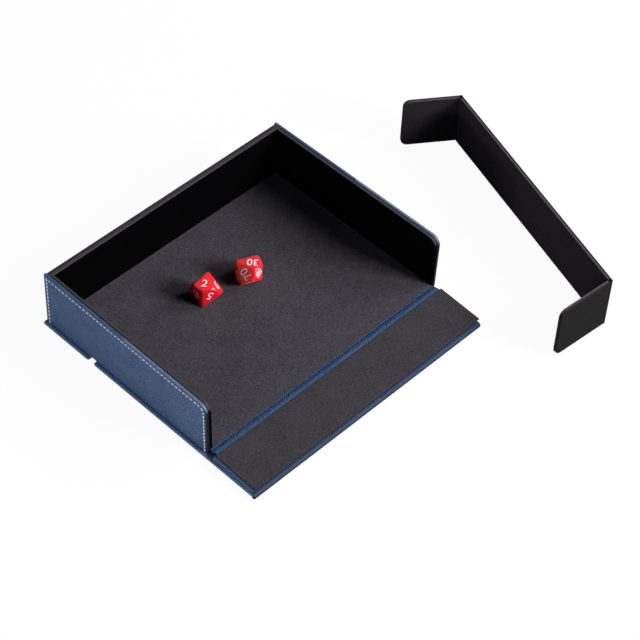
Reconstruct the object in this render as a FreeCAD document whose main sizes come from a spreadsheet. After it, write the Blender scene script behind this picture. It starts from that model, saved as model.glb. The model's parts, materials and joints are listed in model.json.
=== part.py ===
"""Folding dice tray with a wrap-around cover, a loose folding front wall and two ten-sided dice.

The tray has a floor, two side walls and a back wall; its front is open.  A cover in three
stiff panels is joined to the tray's front edge by a flexible strip: a narrow spine panel, the
main cover panel and a closing flap.  Opened, as modelled, the spine lies in front of the tray
with its lining up, and the cover is folded right back underneath, so that the tray stands on it.
Shut, the spine closes the front, the cover lies on the walls and the flap hangs behind the back
wall, held by magnets.  The divider is a three-panel wall on two folds that stands across the
tray's mouth, and is taken out here.

Frame: origin on the ground under the middle of the tray, +X right, +Y to the back wall, +Z up.
Millimetres and degrees.
"""
import FreeCAD, Part
import os
from math import atan2, cos, degrees, pi, sin, tan

from FreeCAD import Placement, Rotation, Vector

# The driving sizes, each in a cell of its own.
SIZES = [
    # the tray
    ("tray_width", "201.0", "outside, over both side panels"),
    ("tray_depth", "148.0", "side panels, front edge to back edge"),
    ("wall_height", "43.3", "side panels, from the tray's underside to their top"),
    ("front_corner", "6.5", "radius of a side wall's top front corner"),
    ("back_corner", "0.8", "radius of a side wall's top back corner"),
    ("side_panel", "1.9", "thickness of a covered outer side panel"),
    ("wall_board", "2.3", "thickness of a black inner wall board"),
    ("back_board", "2.1", "thickness of each of the back wall's two boards"),
    ("back_inset", "0.8", "side panels stand this far behind the back wall"),
    ("board_step", "0.3", "wall boards stop this far inside the side panels' outline"),
    ("bottom_board", "2.0", "thickness of the floor's stiff board"),
    ("floor_lining", "1.1", "thickness of the padded microfibre floor"),
    ("floor_lip", "0.6", "floor stands this far out of the open front"),
    # the materials of the covered panels
    ("skin", "0.4", "thickness of the leatherette"),
    ("panel_edge", "0.6", "radius of a covered edge"),
    # the cover
    ("cover_shift", "2.4", "cover's left edge stands out of the left side panel"),
    ("cover_inset", "4.3", "cover's right edge stops inside the right side panel's face"),
    ("cover_core", "1.4", "thickness of the cover's greyboard"),
    ("cover_lining", "0.4", "thickness of the cover's inner lining"),
    ("lining_inset", "1.4", "cover's lining stops this far inside its edges"),
    ("cover_corner", "1.4", "radius of the cover's corners in plan"),
    ("flap_length", "43.0", "closing flap, from its hinge line"),
    ("flap_joint", "4.8", "flexible joint between cover and flap"),
    ("joint_inset", "5.0", "the flap's joint stops this far inside the cover's ends"),
    ("joint_thick", "0.8", "thickness of a flexible joint"),
    # the spine panel
    ("spine_core", "1.4", "thickness of the spine's greyboard"),
    ("spine_lining", "0.6", "thickness of the spine's microfibre lining"),
    ("spine_joint", "4.5", "spine board starts this far from its hinge line"),
    ("lining_joint", "5.5", "spine lining starts this far from its hinge line"),
    ("lining_shift", "2.6", "spine lining starts this far inside the board's left end"),
    ("lining_overhang", "2.3", "spine lining stands this far out of the board's right end"),
    ("groove_depth", "1.5", "the flexible strip sags this far below the floor"),
    ("lining_lip", "0.5", "spine lining stands this far out of the spine board's front line"),
    ("nose_width", "2.45", "front strip, between the lines where it bends"),
    ("nose_bulge", "1.8", "front strip stands this far out of its lower line"),
    ("nose_slant", "45.0", "shut strip from spine to cover, above the level, degrees"),
    # clearances
    ("stack_gap", "0.1", "tray's underside to the cover folded under it"),
    ("shut_gap", "0.1", "walls' top to the shut cover"),
    ("front_gap", "0.15", "side walls' front edges to the shut spine"),
    ("rear_gap", "0.2", "side panels' back edges to the shut flap"),
    ("hinge_rise", "0.3", "spine's hinge line above the floor"),
    ("spine_rest", "0.2", "spine's front end above the folded cover"),
    ("spine_gap", "0.3", "spine board's front end to the strip's upper line"),
    ("nose_gap", "0.1", "strip's lower line to the cover's front edge"),
    ("strip_drop", "0.95", "front strip's top edge below the spine's lining"),
    ("seat", "0.05", "between a flexible strip and the panel that it is glued to"),
    # the magnetic closure
    ("magnet_radius", "5.0", "disc magnets in the flap"),
    ("magnet_thick", "1.0", "disc magnets in the flap"),
    ("magnet_drop", "28.0", "flap's hinge line to the magnets"),
    ("magnet_spread", "140.0", "between the two outer magnets"),
    ("keeper_side", "14.0", "square steel keepers in the back wall"),
    ("keeper_thick", "0.5", "square steel keepers in the back wall"),
    # the divider
    ("divider_play", "2.6", "tray's inside width, less the divider's middle panel"),
    ("divider_drop", "0.3", "divider's top below the wall tops when it stands in the tray"),
    ("divider_left_end", "40.6", "left panel, from its fold"),
    ("divider_right_end", "45.0", "right panel, from its fold"),
    ("divider_corner", "5.0", "radius of the free ends' corners"),
    ("divider_layer", "1.3", "thickness of each of a panel's two layers"),
    ("fold_gap", "1.4", "fold line to the outer layer"),
    ("fold_skin", "0.6", "thickness of the flexible fold"),
    ("left_angle", "107.9", "between the middle and left panels, degrees"),
    ("right_angle", "103.1", "between the middle and right panels, degrees"),
    ("divider_x", "215.78", "left fold line from the middle of the tray"),
    ("divider_y", "11.66", "left fold line from the middle of the tray"),
    ("divider_angle", "-107.63", "direction from the left fold to the right one, degrees"),
    # the dice
    ("die_radius", "11.8", "ten-sided die, centre to the sharp corners"),
    ("die_tip", "0.93", "tips are ground back to this share of the radius"),
    ("first_die_x", "-16.7", "centre of the left die"),
    ("first_die_y", "17.5", "centre of the left die"),
    ("first_die_angle", "215.0", "direction that its lower tip points, degrees"),
    ("second_die_x", "15.05", "centre of the right die"),
    ("second_die_y", "10.6", "centre of the right die"),
    ("second_die_angle", "310.0", "direction that its lower tip points, degrees"),
]

# Levels and lines that follow from them.
PLACES = [
    ("half_width", "Sizes.tray_width / 2"),
    ("front", "-Sizes.tray_depth / 2"),
    ("back", "Sizes.tray_depth / 2"),
    ("inner_half", "half_width - Sizes.side_panel"),
    ("floor_half", "inner_half - Sizes.wall_board"),
    ("back_face", "back - Sizes.back_inset"),
    ("back_middle", "back_face - Sizes.back_board"),
    ("back_inside", "back_middle - Sizes.back_board"),
    ("floor_front", "front - Sizes.floor_lip"),
    ("cover_thick", "Sizes.cover_lining + Sizes.cover_core + Sizes.skin"),
    ("tray_under", "cover_thick + Sizes.stack_gap"),
    ("board_low", "tray_under + Sizes.skin"),
    ("floor_low", "board_low + Sizes.bottom_board"),
    ("floor_top", "floor_low + Sizes.floor_lining"),
    ("wall_top", "tray_under + Sizes.wall_height"),
    ("board_top", "wall_top - Sizes.board_step"),
    ("shut_face", "wall_top + Sizes.shut_gap"),
    ("spine_half", "(Sizes.skin + Sizes.spine_core + Sizes.spine_lining) / 2"),
    ("hinge_y", "front - Sizes.front_gap - spine_half"),
    ("hinge_z", "floor_top + Sizes.hinge_rise"),
    ("spine_rise", "(Sizes.skin + Sizes.spine_core) / 2 - spine_half"),
    # The front strip bends at two lines: the upper one at the spine's end, the lower one at
    # the cover's edge.  Shut, it runs up and back by nose_slant to the cover on the walls.
    ("cover_middle", "Sizes.cover_lining + (Sizes.cover_core + Sizes.skin) / 2"),
    ("nose_reach", "shut_face + cover_middle - Sizes.nose_width * sin(Sizes.nose_slant * 1 deg)"
                   " - hinge_z"),
    ("spine_end", "nose_reach - Sizes.spine_gap"),
    ("spine_drop", "(hinge_z - cover_thick - Sizes.spine_rest) / hypot(spine_end; spine_half)"),
    ("spine_tilt", "asin(spine_drop) - atan(spine_half / spine_end)"),
    ("upper_y", "hinge_y - nose_reach * cos(spine_tilt) - spine_rise * sin(spine_tilt)"),
    ("upper_z", "hinge_z - nose_reach * sin(spine_tilt) + spine_rise * cos(spine_tilt)"),
    ("nose_y", "upper_y - sqrt(Sizes.nose_width^2 - (upper_z - cover_middle)^2)"),
    ("shut_travel", "hinge_y + spine_rise + Sizes.nose_width * cos(Sizes.nose_slant * 1 deg)"
                    " - nose_y"),
    ("cover_left", "-half_width - Sizes.cover_shift"),
    ("cover_width", "Sizes.tray_width + Sizes.cover_shift - Sizes.cover_inset"),
    ("lining_width", "cover_width - Sizes.lining_shift + Sizes.lining_overhang"),
    ("cover_front", "nose_y + Sizes.nose_gap"),
    ("flap_hinge", "back + Sizes.rear_gap - shut_travel"),
    ("cover_rear", "flap_hinge - Sizes.flap_joint"),
    ("cover_length", "cover_rear - cover_front"),
    ("keeper_z", "shut_face - Sizes.magnet_drop"),
    ("divider_length", "2 * floor_half - Sizes.divider_play"),
    ("divider_height", "wall_top - floor_top - Sizes.divider_drop"),
    ("inner_gap", "Sizes.fold_gap + Sizes.divider_layer"),
]

doc = FreeCAD.newDocument("dice_tray")
sizes = doc.addObject("Spreadsheet::Sheet", "Sizes")
for row, (alias, value, note) in enumerate(SIZES, 1):
    sizes.set(f"A{row}", note)
    sizes.set(f"B{row}", value)
    sizes.setAlias(f"B{row}", alias)
places = doc.addObject("Spreadsheet::Sheet", "Places")
for row, (alias, formula) in enumerate(PLACES, 1):
    places.setAlias(f"B{row}", alias)
    places.set(f"B{row}", "=" + formula)
doc.recompute()

subparts = []


def name_part(part, label):
    """Keep an object as a finished sub-part, under its node's name."""
    part.Label = label
    subparts.append(part)
    return part


def bind(thing, **expressions):
    """Tie properties to the sheets; x, y, z and turn are the parts of a placement."""
    paths = {
        "x": "Placement.Base.x",
        "y": "Placement.Base.y",
        "z": "Placement.Base.z",
        "turn": "Placement.Rotation.Angle",
    }
    for key, expression in expressions.items():
        thing.setExpression(paths.get(key, key), str(expression))
    return thing


def upright(edge):
    """True for an edge that runs along Z."""
    return abs(edge.tangentAt(edge.FirstParameter).z) > 0.999


def rounded(body, base, wanted, radius, name):
    """Fillet the wanted edges of a body's last feature with a radius from the sheet."""
    doc.recompute()
    names = [f"Edge{i}" for i, edge in enumerate(base.Shape.Edges, 1) if wanted(edge)]
    fillet = body.newObject("PartDesign::Fillet", name)
    fillet.Base = (base, names)
    bind(fillet, Radius=radius)
    body.Tip = fillet
    return fillet


def block(name, length, width, height, x="0", y="0", z="0"):
    """A body holding one box, its low corner at x, y, z."""
    body = doc.addObject("PartDesign::Body", name)
    box = body.newObject("PartDesign::AdditiveBox", name + "_box")
    bind(box, Length=length, Width=width, Height=height, x=x, y=y, z=z)
    return body, box


def sheet(name, **where):
    """A plain flat sub-part with square edges."""
    body, _ = block(name, **where)
    return name_part(body, name)


def covered_panel(name, low, high, x, length, y, width, lining=None):
    """A greyboard panel in a leatherette skin: the core, and the skin round its top and edges."""
    body, box = block(name + "_outline", length, width, f"{high} - ({low})", x, y, low)
    corners = rounded(body, box, upright, "Sizes.cover_corner", name + "_corners")

    def top(edge):
        level = body.Shape.BoundBox.ZMax
        return all(abs(v.Point.z - level) < 1e-6 for v in edge.Vertexes)

    rounded(body, corners, top, "Sizes.panel_edge", name + "_edges")
    core, _ = block(
        name + "_core", f"{length} - 2 * Sizes.skin", f"{width} - 2 * Sizes.skin",
        f"{high} - ({low}) - Sizes.skin", f"{x} + Sizes.skin", f"{y} + Sizes.skin", low,
    )
    corners = rounded(core, core.Tip, upright, "Sizes.cover_corner - Sizes.skin", name + "_core_corners")
    return body, core


def skin_over(name, outline, core):
    """The skin is what is left of a panel's outline without its core."""
    skin = doc.addObject("Part::Cut", name)
    skin.Base = outline
    skin.Tool = core
    return name_part(skin, name)


# ---------------------------------------------------------------- tray floor
for name, low, thick, half in (
    ("bottom_wrap", "Places.tray_under", "Sizes.skin", "Places.inner_half"),
    ("bottom_board", "Places.board_low", "Sizes.bottom_board", "Places.inner_half"),
    ("floor_lining", "Places.floor_low", "Sizes.floor_lining", "Places.floor_half"),
):
    rear = "Places.back_inside" if name == "floor_lining" else "Places.back_face"
    sheet(name, length=f"2 * {half}", width=f"{rear} - Places.floor_front", height=thick,
          x=f"-{half}", y="Places.floor_front", z=low)


# ---------------------------------------------------------------- side walls
def wall_corner(side, where):
    """Picks a wall's edge along X at its top, at its front or at its back."""
    def wanted(edge):
        box = side.Shape.BoundBox
        end = box.YMin if where == "front" else box.YMax
        return all(abs(v.Point.z - box.ZMax) < 1e-6 and abs(v.Point.y - end) < 1e-6
                   for v in edge.Vertexes)
    return wanted


def wall(name, thick, x, y, width, low, height, front_radius, back_radius=None):
    """An upright board along Y with a rounded top front corner."""
    body, box = block(name, thick, width, height, x, y, low)
    doc.recompute()
    last = rounded(body, box, wall_corner(box, "front"), front_radius, name + "_front")
    if back_radius:
        doc.recompute()
        rounded(body, last, wall_corner(last, "back"), back_radius, name + "_back")
    return body


for side, outer_x, core_x, board_x in (
    ("left", "-Places.half_width", "-Places.half_width + Sizes.skin", "-Places.inner_half"),
    ("right", "Places.inner_half", "Places.inner_half", "Places.floor_half"),
):
    outline = wall(f"{side}_side_outline", "Sizes.side_panel", outer_x, "Places.front",
                   "Sizes.tray_depth", "Places.tray_under", "Sizes.wall_height",
                   "Sizes.front_corner", "Sizes.back_corner")
    core = wall(f"{side}_side_core", "Sizes.side_panel - Sizes.skin", core_x,
                "Places.front + Sizes.skin", "Sizes.tray_depth - 2 * Sizes.skin",
                "Places.board_low", "Sizes.wall_height - 2 * Sizes.skin",
                "Sizes.front_corner - Sizes.skin", "Sizes.back_corner - Sizes.skin")
    name_part(core, f"{side}_side_core")
    skin_over(f"{side}_side_wrap", outline, core)
    board = wall(f"{side}_wall_board", "Sizes.wall_board", board_x,
                 "Places.front + Sizes.board_step",
                 "Places.back_inside - Places.front - Sizes.board_step", "Places.floor_low",
                 "Places.board_top - Places.floor_low", "Sizes.front_corner - Sizes.board_step")
    name_part(board, f"{side}_wall_board")

# ---------------------------------------------------------------- back wall and its steel keepers
magnet_places = ["-Sizes.magnet_spread / 2", "0", "Sizes.magnet_spread / 2"]
back_wall = {"length": "2 * Places.inner_half", "x": "-Places.inner_half", "z": "Places.floor_low",
             "height": "Places.board_top - Places.floor_low", "width": "Sizes.back_board"}
sheet("back_wall_inner_board", y="Places.back_inside", **back_wall)
outer_board, _ = block("back_wall_outer_blank", y="Places.back_middle", **back_wall)

keepers = doc.addObject("Part::MultiFuse", "back_wall_keepers")
keeper_plates = []
for number, across in enumerate(magnet_places, 1):
    plate = doc.addObject("Part::Box", f"keeper_{number}")
    bind(plate, Length="Sizes.keeper_side", Width="Sizes.keeper_thick", Height="Sizes.keeper_side",
         x=f"{across} - Sizes.keeper_side / 2", y="Places.back_middle",
         z="Places.keeper_z - Sizes.keeper_side / 2")
    keeper_plates.append(plate)
keepers.Shapes = keeper_plates
name_part(keepers, "back_wall_keepers")
outer = doc.addObject("Part::Cut", "back_wall_outer_board")
outer.Base = outer_board
outer.Tool = keepers
name_part(outer, "back_wall_outer_board")

# ---------------------------------------------------------------- main cover and flap
cover_x = "Places.cover_left"
for name, y, width in (
    ("cover", "Places.cover_front", "Places.cover_length"),
    ("flap", "Places.flap_hinge", "Sizes.flap_length"),
):
    outline, core = covered_panel(name, "Sizes.cover_lining", "Places.cover_thick", cover_x,
                                  "Places.cover_width", y, width)
    lining = sheet(f"{name}_lining", length="Places.cover_width - 2 * Sizes.lining_inset",
                   width=f"{width} - 2 * Sizes.lining_inset", height="Sizes.cover_lining",
                   x=f"{cover_x} + Sizes.lining_inset", y=f"{y} + Sizes.lining_inset")
    skin_over(f"{name}_wrap", outline, core)
    if name == "cover":
        name_part(core, "cover_board")
    else:
        flap_core = core

# Disc magnets sunk in the flap's board, under its lining.
magnets = doc.addObject("Part::MultiFuse", "flap_magnets")
discs = []
for number, across in enumerate(magnet_places, 1):
    disc = doc.addObject("Part::Cylinder", f"magnet_{number}")
    bind(disc, Radius="Sizes.magnet_radius", Height="Sizes.magnet_thick", x=across,
         y="Places.flap_hinge + Sizes.magnet_drop", z="Sizes.cover_lining")
    discs.append(disc)
magnets.Shapes = discs
name_part(magnets, "flap_magnets")
flap_board = doc.addObject("Part::Cut", "flap_board")
flap_board.Base = flap_core
flap_board.Tool = magnets
name_part(flap_board, "flap_board")

# ---------------------------------------------------------------- spine panel
# Made flat about its hinge line, then leaned down to the front by spine_tilt.
spine_length = "(Places.spine_end - Sizes.spine_joint)"
spine_low = "-Places.spine_half"
spine_board_top = "(Places.spine_half - Sizes.spine_lining)"
outline, _ = block("spine_outline", "Places.cover_width", spine_length,
                   f"{spine_board_top} + Places.spine_half", cover_x, "-Places.spine_end", spine_low)
rounded(outline, outline.Tip, lambda edge: abs(edge.tangentAt(0).x) < 0.1
        and edge.BoundBox.ZMax < 0, "Sizes.panel_edge", "spine_edges")
core, _ = block("spine_core", "Places.cover_width - 2 * Sizes.skin", f"{spine_length} - 2 * Sizes.skin",
                "Sizes.spine_core", f"{cover_x} + Sizes.skin", "-Places.spine_end + Sizes.skin",
                f"{spine_low} + Sizes.skin")
lining, _ = block("spine_lining", "Places.lining_width",
                  "Places.nose_reach + Sizes.lining_lip - Sizes.lining_joint", "Sizes.spine_lining",
                  f"{cover_x} + Sizes.lining_shift", "-Places.nose_reach - Sizes.lining_lip",
                  spine_board_top)
name_part(core, "spine_board")
name_part(lining, "spine_lining")
for body in (outline, core, lining):
    body.Placement.Rotation = Rotation(Vector(1, 0, 0), 1)
    bind(body, y="Places.hinge_y", z="Places.hinge_z", turn="Places.spine_tilt")
skin_over("spine_wrap", outline, core)

# ---------------------------------------------------------------- flexible joints
doc.recompute()


def strip_along_x(name, edges, start, length):
    """A flexible strip: a section in the YZ plane, drawn at X = 0, run along X."""
    face = Part.Face(Part.Wire(edges))
    strip = doc.addObject("Part::Feature", name)
    strip.Shape = face.extrude(Vector(length, 0, 0))
    strip.Placement = Placement(Vector(start, 0, 0), Rotation())
    return name_part(strip, name)


def point(y, z):
    return Vector(0, y, z)


def on_spine(reach, rise):
    """A point of the spine's section: reach from the hinge line, rise towards its lining."""
    tilt = places.spine_tilt.Value * pi / 180
    return point(places.hinge_y - reach * cos(tilt) - rise * sin(tilt),
                 places.hinge_z - reach * sin(tilt) + rise * cos(tilt))


def line(a, b):
    return Part.LineSegment(a, b).toShape()


def arc(a, b, c):
    return Part.Arc(a, b, c).toShape()


# The groove between floor and spine: a strip that sags between the two boards.
thick = Vector(0, 0, -sizes.joint_thick)
tray_side = point(places.floor_front - sizes.seat, places.floor_top - sizes.seat)
spine_side = on_spine(sizes.spine_joint - sizes.seat, places.spine_half - sizes.spine_lining)
valley = (tray_side + spine_side) / 2
valley.z = places.floor_top - sizes.groove_depth
strip_along_x(
    "spine_hinge_strip",
    [arc(tray_side, valley, spine_side), line(spine_side, spine_side + thick),
     arc(spine_side + thick, valley + thick, tray_side + thick), line(tray_side + thick, tray_side)],
    places.cover_left, places.cover_width)

# The front edge: a strip rounded from the spine's end down to the cover's edge.
upper = on_spine(places.spine_end + sizes.seat,
                 places.spine_half - sizes.spine_lining - sizes.strip_drop)
under = on_spine(places.spine_end + sizes.seat, -places.spine_half)
front = point(places.nose_y - sizes.nose_bulge, (upper.z + sizes.seat) / 2)
cover_edge = places.cover_front - sizes.seat
lower = point(cover_edge, sizes.seat)
notch = point(cover_edge, places.cover_thick + sizes.seat)
strip_along_x(
    "nose_hinge_strip",
    [arc(upper, front, lower), line(lower, notch), line(notch, under), line(under, upper)],
    places.cover_left, places.cover_width)

# The flat joint between cover and flap, let in at both ends.
sheet("flap_hinge_strip", length="Places.cover_width - 2 * Sizes.joint_inset",
      width="Sizes.flap_joint - 2 * Sizes.seat", height="Sizes.joint_thick",
      x=f"{cover_x} + Sizes.joint_inset", y="Places.cover_rear + Sizes.seat",
      z="Places.cover_thick - Sizes.joint_thick - Sizes.skin / 2")


# ---------------------------------------------------------------- divider
# Each panel is made with its fold along Z at the origin, running along +X, and is then turned
# and set at its fold.  Its two layers lie on the side that faces into the folded wall.
MIDDLE_TURN = "Sizes.divider_angle"
LEFT_TURN = "Sizes.divider_angle - Sizes.left_angle"
RIGHT_TURN = "Sizes.divider_angle + 180 + Sizes.right_angle"
LEFT_FOLD = {"x": "Sizes.divider_x", "y": "Sizes.divider_y"}
RIGHT_FOLD = {
    "x": "Sizes.divider_x + Places.divider_length * cos(Sizes.divider_angle * 1 deg)",
    "y": "Sizes.divider_y + Places.divider_length * sin(Sizes.divider_angle * 1 deg)",
}


def stand(part, fold, turn):
    """Set an upright part at a fold line, turned about Z."""
    part.Placement.Rotation = Rotation(Vector(0, 0, 1), 1)
    return bind(part, turn=turn, **fold)


def divider_panel(name, reach, fold, turn, inward):
    """One panel: an outer board, and an inner layer that starts further from the fold."""
    free_end = name != "middle"
    for layer, gap, depth in (("board", "Sizes.fold_gap", 0), ("lining", "Places.inner_gap", 1)):
        label = f"divider_{name}_{layer}"
        nearest = depth if inward > 0 else -depth - 1
        folds = 1 if free_end else 2
        body, box = block(label, f"{reach} - {folds} * {gap}", "Sizes.divider_layer",
                          "Places.divider_height", gap, f"{nearest} * Sizes.divider_layer")
        if free_end:
            doc.recompute()
            far = box.Shape.BoundBox.XMax

            def free_corner(edge):
                return all(abs(v.Point.x - far) < 1e-6 for v in edge.Vertexes) and not upright(edge)

            rounded(body, box, free_corner, "Sizes.divider_corner", label + "_corners")
        name_part(stand(body, fold, turn), label)


divider_panel("middle", "Places.divider_length", LEFT_FOLD, MIDDLE_TURN, -1)
divider_panel("left", "Sizes.divider_left_end", LEFT_FOLD, LEFT_TURN, 1)
divider_panel("right", "Sizes.divider_right_end", RIGHT_FOLD, RIGHT_TURN, -1)

# The flexible folds: two short legs that meet at the fold line.
for name, fold, legs in (
    ("left", LEFT_FOLD, ((MIDDLE_TURN, "-Sizes.fold_skin"), (LEFT_TURN, "0"))),
    ("right", RIGHT_FOLD, ((f"{MIDDLE_TURN} + 180", "0"), (RIGHT_TURN, "-Sizes.fold_skin"))),
):
    halves = []
    for number, (turn, side) in enumerate(legs, 1):
        leg, _ = block(f"{name}_fold_leg_{number}", "Sizes.fold_gap - Sizes.seat", "Sizes.fold_skin",
                       "Places.divider_height", "0", side)
        halves.append(stand(leg, fold, turn))
    fold_skin = doc.addObject("Part::MultiFuse", f"divider_{name}_fold")
    fold_skin.Shapes = halves
    name_part(fold_skin, f"divider_{name}_fold")

# ---------------------------------------------------------------- dice
SIDES = 5  # kite faces round each tip


def ten_sided_die(radius, tip):
    """A pentagonal trapezohedron about the Z axis, and the slope of its kites.

    The corners lie on a sphere.  The kites are flat when the ring's corners zigzag up and
    down by tan(18 deg) squared of the tips' height.
    """
    step = pi / SIDES
    level = radius * tan(step / 2) ** 2
    waist = (radius ** 2 - level ** 2) ** 0.5
    tips = {1: Vector(0, 0, radius), -1: Vector(0, 0, -radius)}
    ring = [Vector(waist * cos(step * k), waist * sin(step * k), level if k % 2 else -level)
            for k in range(2 * SIDES)]
    faces = []
    for k in range(2 * SIDES):
        side = -1 if k % 2 else 1
        corners = [tips[side], ring[k - 1], ring[k], ring[(k + 1) % (2 * SIDES)], tips[side]]
        faces.append(Part.Face(Part.makePolygon(corners)))
    die = Part.Solid(Part.Shell(faces)).common(Part.makeSphere(radius * tip))
    return die, atan2(radius + level, waist)


for name in ("first_die", "second_die"):
    solid, slope = ten_sided_die(sizes.die_radius, sizes.die_tip)
    die = doc.addObject("Part::Feature", name)
    die.Shape = solid
    # It lies on one kite, so the opposite kite is level and faces up.
    lying = Rotation(Vector(0, 1, 0), -degrees(slope))
    turned = Rotation(Vector(0, 0, 1), sizes.get(name + "_angle"))
    middle = places.floor_top + sizes.die_radius * cos(slope)
    die.Placement = Placement(
        Vector(sizes.get(name + "_x"), sizes.get(name + "_y"), middle), turned * lying)
    name_part(die, name)

# ---------------------------------------------------------------- checks and files
doc.recompute()
for thing in doc.Objects:
    if "Invalid" in thing.State or "Error" in thing.State:
        raise RuntimeError(f"{thing.Name} failed: {thing.State}")
for part in subparts:
    if part.Shape.isNull() or not part.Shape.isValid() or not part.Shape.Solids:
        raise RuntimeError(f"{part.Label} has no valid solid")

os.makedirs("parts", exist_ok=True)
for part in subparts:
    part.Shape.exportStep(os.path.join("parts", part.Label + ".step"))
    print(f"{part.Label:26s} {part.Shape.Volume:10.1f} mm3")
print(len(subparts), "sub-parts")
for name in ("hinge_y", "hinge_z", "upper_y", "upper_z", "nose_y", "cover_middle", "flap_hinge",
             "spine_tilt"):
    print(name, places.get(name))
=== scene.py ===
import json
import math

import bpy
from mathutils import Matrix, Vector, noise


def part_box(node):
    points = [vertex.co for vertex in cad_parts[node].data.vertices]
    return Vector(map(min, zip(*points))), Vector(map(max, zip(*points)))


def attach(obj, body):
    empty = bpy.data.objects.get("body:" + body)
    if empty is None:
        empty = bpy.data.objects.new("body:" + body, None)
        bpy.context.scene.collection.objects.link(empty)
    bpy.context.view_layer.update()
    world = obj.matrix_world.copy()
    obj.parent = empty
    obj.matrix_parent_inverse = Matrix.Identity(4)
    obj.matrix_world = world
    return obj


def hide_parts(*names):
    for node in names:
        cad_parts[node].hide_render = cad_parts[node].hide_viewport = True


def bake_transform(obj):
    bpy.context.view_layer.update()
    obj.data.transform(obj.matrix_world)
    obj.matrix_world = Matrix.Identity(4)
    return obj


# A folding dice tray: a box open at the front, glued on a cover that is folded back under it,
# with a loose three-panel divider and two ten-sided dice. Sizes are in millimetres; +X is the
# tray's right, +Y its back, and the table's top is at Z = 0.
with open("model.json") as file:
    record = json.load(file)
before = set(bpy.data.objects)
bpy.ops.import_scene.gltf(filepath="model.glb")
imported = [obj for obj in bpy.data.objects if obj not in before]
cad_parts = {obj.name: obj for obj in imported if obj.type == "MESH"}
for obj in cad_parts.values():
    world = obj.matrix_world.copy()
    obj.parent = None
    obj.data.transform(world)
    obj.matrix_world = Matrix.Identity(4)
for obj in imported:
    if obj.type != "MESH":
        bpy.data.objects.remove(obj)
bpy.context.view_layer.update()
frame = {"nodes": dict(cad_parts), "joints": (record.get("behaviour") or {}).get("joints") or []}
MM = 0.001
bpy.context.scene.view_settings.view_transform = "Standard"


# ---------------------------------------------------------------- camera
# A long lens from 1.4 m, over the tray's open left front corner. It rolls a little, and its
# small shift sets the tray and the divider in the frame.
CAMERA_AT = Vector((-659.01, -671.17, 1037.81))
YAW, PITCH, ROLL = (math.radians(angle) for angle in (42.67, 48.22, -3.01))
LENS, FILM = 123.107, 36
SHIFT_RIGHT, SHIFT_UP = 0.00698, 0.0053
FARTHEST = 20000


def place_camera():
    """Aims the camera from its yaw, its pitch down and its roll."""
    ahead = Vector((math.cos(PITCH) * math.cos(YAW), math.cos(PITCH) * math.sin(YAW), -math.sin(PITCH)))
    level = Vector((math.sin(YAW), -math.cos(YAW), 0))
    below = ahead.cross(level)
    right = math.cos(ROLL) * level + math.sin(ROLL) * below
    down = math.cos(ROLL) * below - math.sin(ROLL) * level
    bpy.ops.object.camera_add()
    camera = bpy.context.object
    camera.name = "camera"
    turn = Matrix((right, -down, -ahead)).transposed().to_4x4()
    camera.matrix_world = Matrix.Translation(CAMERA_AT * MM) @ turn
    camera.data.sensor_width = FILM
    camera.data.lens = LENS
    camera.data.shift_x = SHIFT_RIGHT
    camera.data.shift_y = SHIFT_UP
    camera.data.clip_end = FARTHEST * MM
    bpy.context.scene.camera = camera


place_camera()


# ---------------------------------------------------------------- tray bottom
# The bottom is a stiff board with blue leatherette under it, glued down on the cover. The floor
# and the walls are glued on it, so only its edges show.
def rgb(red, green, blue):
    """A colour from display values, 0 to 255."""
    linear = []
    for value in (red, green, blue):
        value /= 255
        linear.append(value / 12.92 if value <= 0.04045 else ((value + 0.055) / 1.055) ** 2.4)
    return (*linear, 1.0)


def feed(slot, item):
    """Links a value to a socket, or sets the socket's own number, colour or vector."""
    if isinstance(item, Value):
        slot.id_data.links.new(item.socket, slot)
    else:
        slot.default_value = item


class Value:
    """One socket of a material; arithmetic on it adds Math nodes."""

    def __init__(self, socket):
        self.socket = socket

    def math(self, operation, *items):
        node = self.socket.id_data.nodes.new("ShaderNodeMath")
        node.operation = operation
        for slot, item in zip(node.inputs, items):
            feed(slot, item)
        return Value(node.outputs[0])

    def __add__(self, other):
        return self.math("ADD", self, other)

    def __radd__(self, other):
        return self.math("ADD", other, self)

    def __sub__(self, other):
        return self.math("SUBTRACT", self, other)

    def __rsub__(self, other):
        return self.math("SUBTRACT", other, self)

    def __mul__(self, other):
        return self.math("MULTIPLY", self, other)

    def __rmul__(self, other):
        return self.math("MULTIPLY", other, self)

    def __truediv__(self, other):
        return self.math("DIVIDE", self, other)

    def __lt__(self, other):
        return self.math("LESS_THAN", self, other)

    def __abs__(self):
        return self.math("ABSOLUTE", self)

    def most(self, other):
        return self.math("MAXIMUM", self, other)

    def least(self, other):
        return self.math("MINIMUM", self, other)

    def sine(self):
        return self.math("SINE", self)

    def root(self):
        return self.math("SQRT", self)

    def held(self):
        """Kept between 0 and 1."""
        return self.most(0.0).least(1.0)


class Nodes:
    """The nodes of a material or of the world."""

    def __init__(self, tree):
        self.tree = tree

    def node(self, kind, output=0, settings=(), slots=(), **inputs):
        """A node of that type, with its settings and what its sockets get, by number or by name."""
        node = self.tree.nodes.new("ShaderNode" + kind)
        for name, item in dict(settings).items():
            setattr(node, name, item)
        for slot, item in (*dict(slots).items(), *inputs.items()):
            feed(node.inputs[slot], item)
        return Value(node.outputs[output])


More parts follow.
